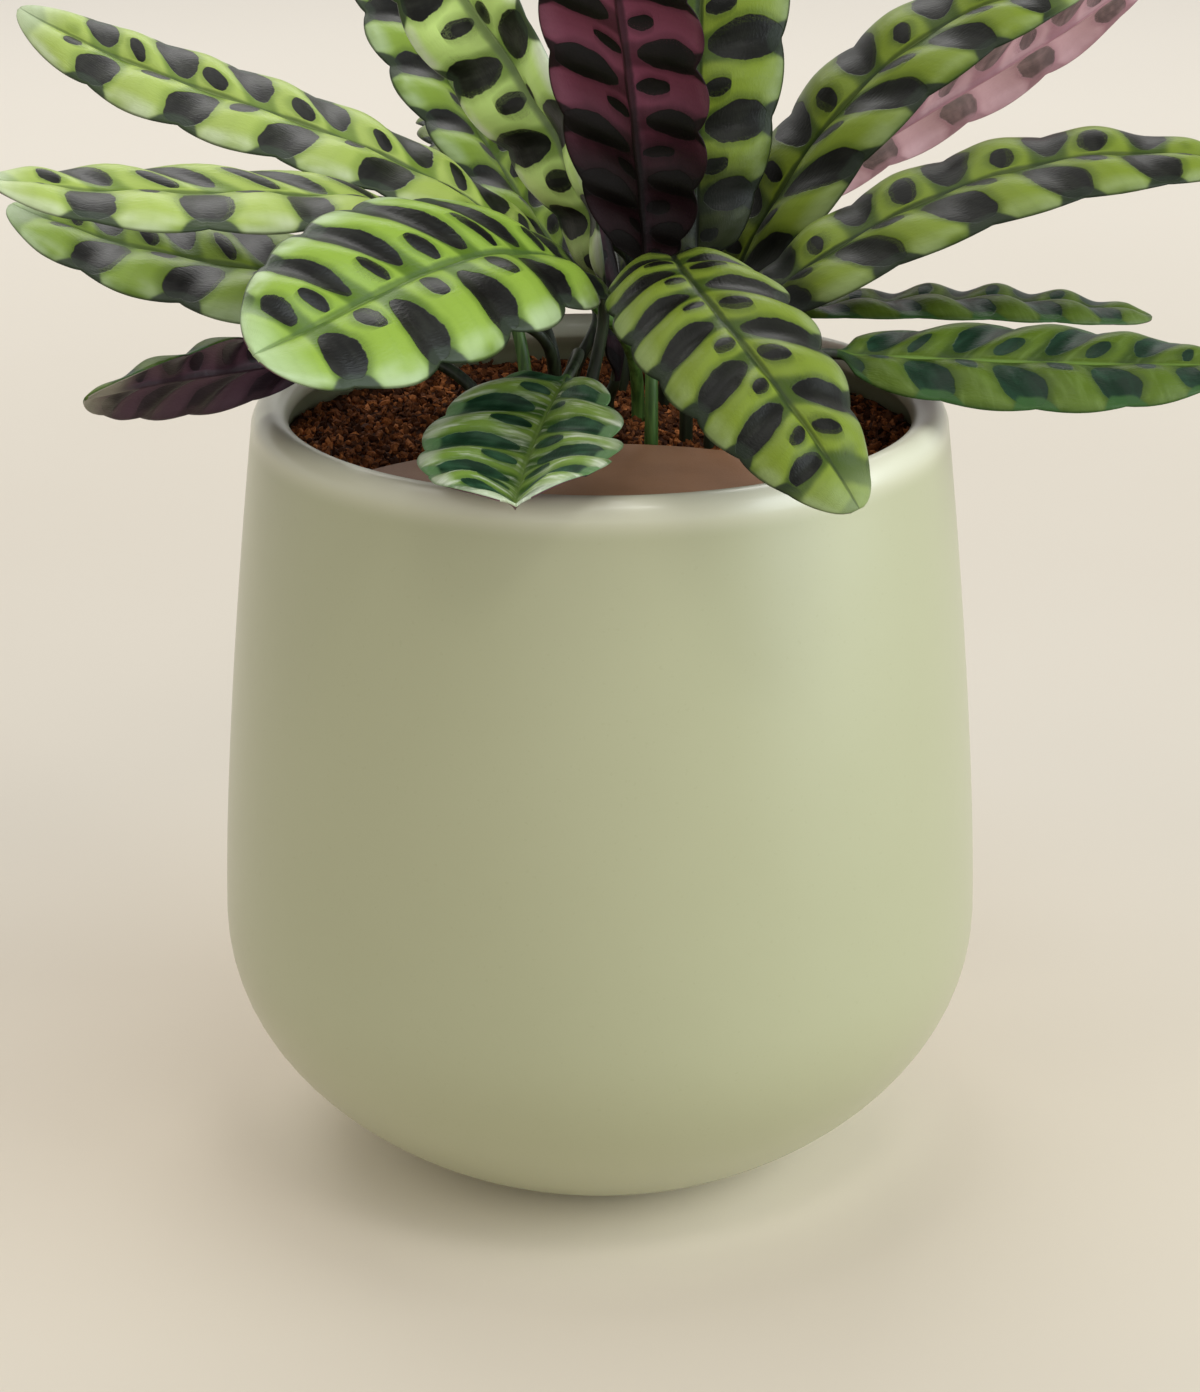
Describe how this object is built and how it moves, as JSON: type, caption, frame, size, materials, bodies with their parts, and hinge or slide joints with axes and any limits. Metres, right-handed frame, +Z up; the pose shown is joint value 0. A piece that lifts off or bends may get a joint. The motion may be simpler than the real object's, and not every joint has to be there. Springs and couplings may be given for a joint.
{
  "type": "potted rattlesnake plant",
  "caption": "Rattlesnake plant with long waved, blotched leaves on slim stalks, standing in the soil of a tall round glazed pot with a rolled rim.",
  "frame": {"origin": "centre of the pot's flat foot, on the surface it rests on", "axes": "+Z up along the pot's axis, -Y towards the viewer of the front, +X to the front view's right"},
  "size_m": [0.3189, 0.2984, 0.369],
  "materials": {
    "pot": "satin glaze, pale sage grey",
    "soil": "loose brown coir crumbs",
    "soil_plate": "matt brown",
    "leaf": "satin light green with dark green blotches above, purple below"
  },
  "bodies": {
    "root": {"pot": "pot", "soil": "soil", "soil_plate": "soil_plate", "leaf_left_high": "leaf", "leaf_left_mid": "leaf", "leaf_left_low": "leaf", "leaf_front_left": "leaf", "leaf_front_right": "leaf", "leaf_front_small": "leaf", "leaf_right_lower": "leaf", "leaf_right_thin": "leaf", "leaf_right_mid": "leaf", "leaf_right_high": "leaf", "leaf_centre_right": "leaf", "leaf_centre_purple": "leaf", "leaf_centre_left": "leaf", "leaf_behind_left": "leaf", "leaf_pink_back": "leaf", "leaf_purple_low": "leaf", "leaf_back_high": "leaf", "leaf_back_left": "leaf", "leaf_back_right": "leaf", "leaf_back_low": "leaf"}
  },
  "joints": []
}
